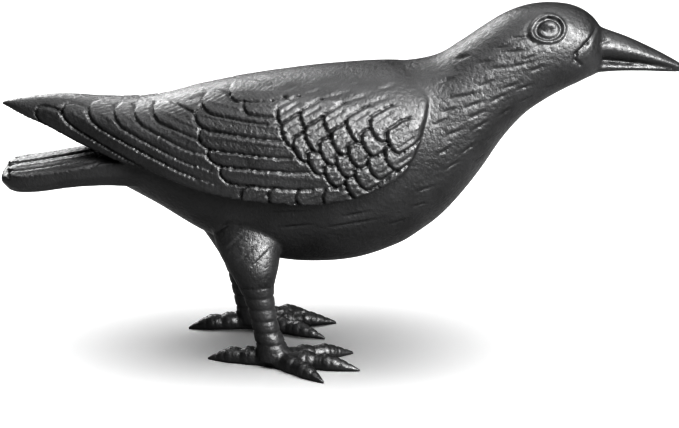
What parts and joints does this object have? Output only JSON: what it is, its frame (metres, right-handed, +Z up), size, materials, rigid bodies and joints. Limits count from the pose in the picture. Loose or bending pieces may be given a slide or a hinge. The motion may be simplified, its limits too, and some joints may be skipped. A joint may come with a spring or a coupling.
{
  "type": "cast iron raven statue",
  "caption": "Standing raven ornament cast in one piece, with folded feathered wings, a straight bill and spread toes to stand on.",
  "frame": {"origin": "middle of the bounding box, at the ground the feet stand on", "axes": "+X from tail to bill, +Y towards the bird's left, +Z up"},
  "size_m": [0.336, 0.1083, 0.1758],
  "materials": {
    "cast_iron": "satin black paint over a fine sand-cast grain"
  },
  "bodies": {
    "root": {"raven": "cast_iron"}
  },
  "joints": []
}
